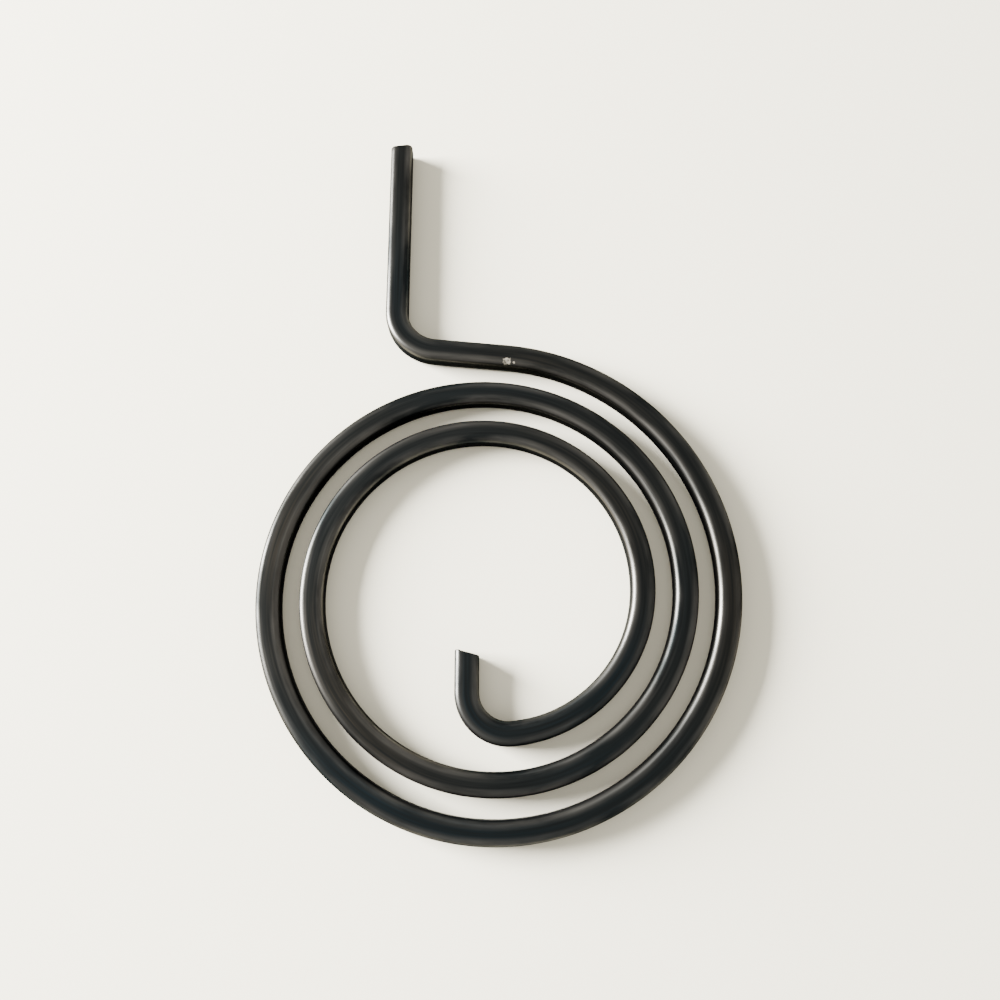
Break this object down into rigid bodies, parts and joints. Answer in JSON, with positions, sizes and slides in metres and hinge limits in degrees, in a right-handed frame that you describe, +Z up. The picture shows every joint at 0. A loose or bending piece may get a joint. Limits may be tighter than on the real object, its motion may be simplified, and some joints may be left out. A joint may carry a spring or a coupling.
{
  "type": "flat spiral torsion spring",
  "caption": "Flat spiral torsion spring of square wire, with a long straight outer leg and a short hook turned in to its centre.",
  "frame": {"origin": "on the coil's axis, where the hub turns, in the plane that the spring lies on", "axes": "+Y along the outer leg towards its tip, +Z up through the thickness of the flat coil, along the hub's axis"},
  "size_m": [0.0484, 0.0749, 0.0024],
  "materials": {
    "spring_wire": "oil-tempered and blackened spring wire, satin"
  },
  "bodies": {
    "outer_leg": {"outer_leg": "spring_wire", "leg_bend": "spring_wire", "lead_in": "spring_wire", "outer_turn_1": "spring_wire"},
    "outer_turn_2": {"outer_turn_2": "spring_wire"},
    "outer_turn_3": {"outer_turn_3": "spring_wire"},
    "outer_turn_4": {"outer_turn_4": "spring_wire"},
    "outer_turn_5": {"outer_turn_5": "spring_wire"},
    "outer_turn_6": {"outer_turn_6": "spring_wire"},
    "outer_turn_7": {"outer_turn_7": "spring_wire"},
    "outer_turn_8": {"outer_turn_8": "spring_wire"},
    "middle_turn_1": {"middle_turn_1": "spring_wire"},
    "middle_turn_2": {"middle_turn_2": "spring_wire"},
    "middle_turn_3": {"middle_turn_3": "spring_wire"},
    "middle_turn_4": {"middle_turn_4": "spring_wire"},
    "middle_turn_5": {"middle_turn_5": "spring_wire"},
    "middle_turn_6": {"middle_turn_6": "spring_wire"},
    "middle_turn_7": {"middle_turn_7": "spring_wire"},
    "middle_turn_8": {"middle_turn_8": "spring_wire"},
    "inner_turn_1": {"inner_turn_1": "spring_wire"},
    "inner_turn_2": {"inner_turn_2": "spring_wire"},
    "inner_turn_3": {"inner_turn_3": "spring_wire"},
    "inner_turn_4": {"inner_turn_4": "spring_wire"},
    "hook_bend": {"hook_bend": "spring_wire"},
    "inner_hook": {"inner_hook": "spring_wire"}
  },
  "joints": [
    {"name": "outer_turn_2_flex", "type": "hinge", "parent": "outer_leg", "child": "outer_turn_2", "pos_m": [0.01848, 0.01756, 0.0012], "axis": [0, 0, -1], "range_deg": [-0.6, 3.4]},
    {"name": "outer_turn_3_flex", "type": "hinge", "parent": "outer_turn_2", "child": "outer_turn_3", "pos_m": [0.02414, -0.0004, 0.0012], "axis": [0, 0, -1], "range_deg": [-0.59, 3.33]},
    {"name": "outer_turn_4_flex", "type": "hinge", "parent": "outer_turn_3", "child": "outer_turn_4", "pos_m": [0.01583, -0.01636, 0.0012], "axis": [0, 0, -1], "range_deg": [-0.57, 3.25]},
    {"name": "outer_turn_5_flex", "type": "hinge", "parent": "outer_turn_4", "child": "outer_turn_5", "pos_m": [-0.00134, -0.02178, 0.0012], "axis": [0, 0, -1], "range_deg": [-0.56, 3.18]},
    {"name": "outer_turn_6_flex", "type": "hinge", "parent": "outer_turn_5", "child": "outer_turn_6", "pos_m": [-0.01657, -0.01385, 0.0012], "axis": [0, 0, -1], "range_deg": [-0.55, 3.1]},
    {"name": "outer_turn_7_flex", "type": "hinge", "parent": "outer_turn_6", "child": "outer_turn_7", "pos_m": [-0.02174, 0.00253, 0.0012], "axis": [0, 0, -1], "range_deg": [-0.54, 3.03]},
    {"name": "outer_turn_8_flex", "type": "hinge", "parent": "outer_turn_7", "child": "outer_turn_8", "pos_m": [-0.01419, 0.01704, 0.0012], "axis": [0, 0, -1], "range_deg": [-0.52, 2.95]},
    {"name": "middle_turn_1_flex", "type": "hinge", "parent": "outer_turn_8", "child": "middle_turn_1", "pos_m": [0.0014, 0.02195, 0.0012], "axis": [0, 0, -1], "range_deg": [-0.51, 2.88]},
    {"name": "middle_turn_2_flex", "type": "hinge", "parent": "middle_turn_1", "child": "middle_turn_2", "pos_m": [0.01517, 0.01478, 0.0012], "axis": [0, 0, -1], "range_deg": [-0.5, 2.8]},
    {"name": "middle_turn_3_flex", "type": "hinge", "parent": "middle_turn_2", "child": "middle_turn_3", "pos_m": [0.01984, -0.00002, 0.0012], "axis": [0, 0, -1], "range_deg": [-0.48, 2.73]},
    {"name": "middle_turn_4_flex", "type": "hinge", "parent": "middle_turn_3", "child": "middle_turn_4", "pos_m": [0.01305, -0.01305, 0.0012], "axis": [0, 0, -1], "range_deg": [-0.47, 2.65]},
    {"name": "middle_turn_5_flex", "type": "hinge", "parent": "middle_turn_4", "child": "middle_turn_5", "pos_m": [-0.00096, -0.01747, 0.0012], "axis": [0, 0, -1], "range_deg": [-0.46, 2.58]},
    {"name": "middle_turn_6_flex", "type": "hinge", "parent": "middle_turn_5", "child": "middle_turn_6", "pos_m": [-0.01326, -0.01107, 0.0012], "axis": [0, 0, -1], "range_deg": [-0.44, 2.51]},
    {"name": "middle_turn_7_flex", "type": "hinge", "parent": "middle_turn_6", "child": "middle_turn_7", "pos_m": [-0.01743, 0.00216, 0.0012], "axis": [0, 0, -1], "range_deg": [-0.43, 2.43]},
    {"name": "middle_turn_8_flex", "type": "hinge", "parent": "middle_turn_7", "child": "middle_turn_8", "pos_m": [-0.01141, 0.01373, 0.0012], "axis": [0, 0, -1], "range_deg": [-0.42, 2.36]},
    {"name": "inner_turn_1_flex", "type": "hinge", "parent": "middle_turn_8", "child": "inner_turn_1", "pos_m": [0.00103, 0.01765, 0.0012], "axis": [0, 0, -1], "range_deg": [-0.4, 2.28]},
    {"name": "inner_turn_2_flex", "type": "hinge", "parent": "inner_turn_1", "child": "inner_turn_2", "pos_m": [0.01186, 0.01201, 0.0012], "axis": [0, 0, -1], "range_deg": [-0.39, 2.21]},
    {"name": "inner_turn_3_flex", "type": "hinge", "parent": "inner_turn_2", "child": "inner_turn_3", "pos_m": [0.01553, 0.00036, 0.0012], "axis": [0, 0, -1], "range_deg": [-0.35, 2]},
    {"name": "inner_turn_4_flex", "type": "hinge", "parent": "inner_turn_3", "child": "inner_turn_4", "pos_m": [0.01134, -0.00863, 0.0012], "axis": [0, 0, -1], "range_deg": [-0.32, 1.78]},
    {"name": "hook_bend_flex", "type": "hinge", "parent": "inner_turn_4", "child": "hook_bend", "pos_m": [0.00235, -0.01282, 0.0012], "axis": [0, 0, -1], "range_deg": [-0.26, 1.48]},
    {"name": "inner_hook_flex", "type": "hinge", "parent": "hook_bend", "child": "inner_hook", "pos_m": [-0.002, -0.00884, 0.0012], "axis": [0, 0, -1], "range_deg": [-0.17, 0.94]}
  ],
  "couplings": [
    {"joint": "outer_turn_3_flex", "follows": "outer_turn_2_flex", "ratio": 0.978},
    {"joint": "outer_turn_4_flex", "follows": "outer_turn_2_flex", "ratio": 0.9561},
    {"joint": "outer_turn_5_flex", "follows": "outer_turn_2_flex", "ratio": 0.9341},
    {"joint": "outer_turn_6_flex", "follows": "outer_turn_2_flex", "ratio": 0.9122},
    {"joint": "outer_turn_7_flex", "follows": "outer_turn_2_flex", "ratio": 0.8902},
    {"joint": "outer_turn_8_flex", "follows": "outer_turn_2_flex", "ratio": 0.8683},
    {"joint": "middle_turn_1_flex", "follows": "outer_turn_2_flex", "ratio": 0.8463},
    {"joint": "middle_turn_2_flex", "follows": "outer_turn_2_flex", "ratio": 0.8244},
    {"joint": "middle_turn_3_flex", "follows": "outer_turn_2_flex", "ratio": 0.8024},
    {"joint": "middle_turn_4_flex", "follows": "outer_turn_2_flex", "ratio": 0.7805},
    {"joint": "middle_turn_5_flex", "follows": "outer_turn_2_flex", "ratio": 0.7585},
    {"joint": "middle_turn_6_flex", "follows": "outer_turn_2_flex", "ratio": 0.7366},
    {"joint": "middle_turn_7_flex", "follows": "outer_turn_2_flex", "ratio": 0.7146},
    {"joint": "middle_turn_8_flex", "follows": "outer_turn_2_flex", "ratio": 0.6927},
    {"joint": "inner_turn_1_flex", "follows": "outer_turn_2_flex", "ratio": 0.6707},
    {"joint": "inner_turn_2_flex", "follows": "outer_turn_2_flex", "ratio": 0.6488},
    {"joint": "inner_turn_3_flex", "follows": "outer_turn_2_flex", "ratio": 0.5864},
    {"joint": "inner_turn_4_flex", "follows": "outer_turn_2_flex", "ratio": 0.5239},
    {"joint": "hook_bend_flex", "follows": "outer_turn_2_flex", "ratio": 0.4336},
    {"joint": "inner_hook_flex", "follows": "outer_turn_2_flex", "ratio": 0.2752}
  ]
}
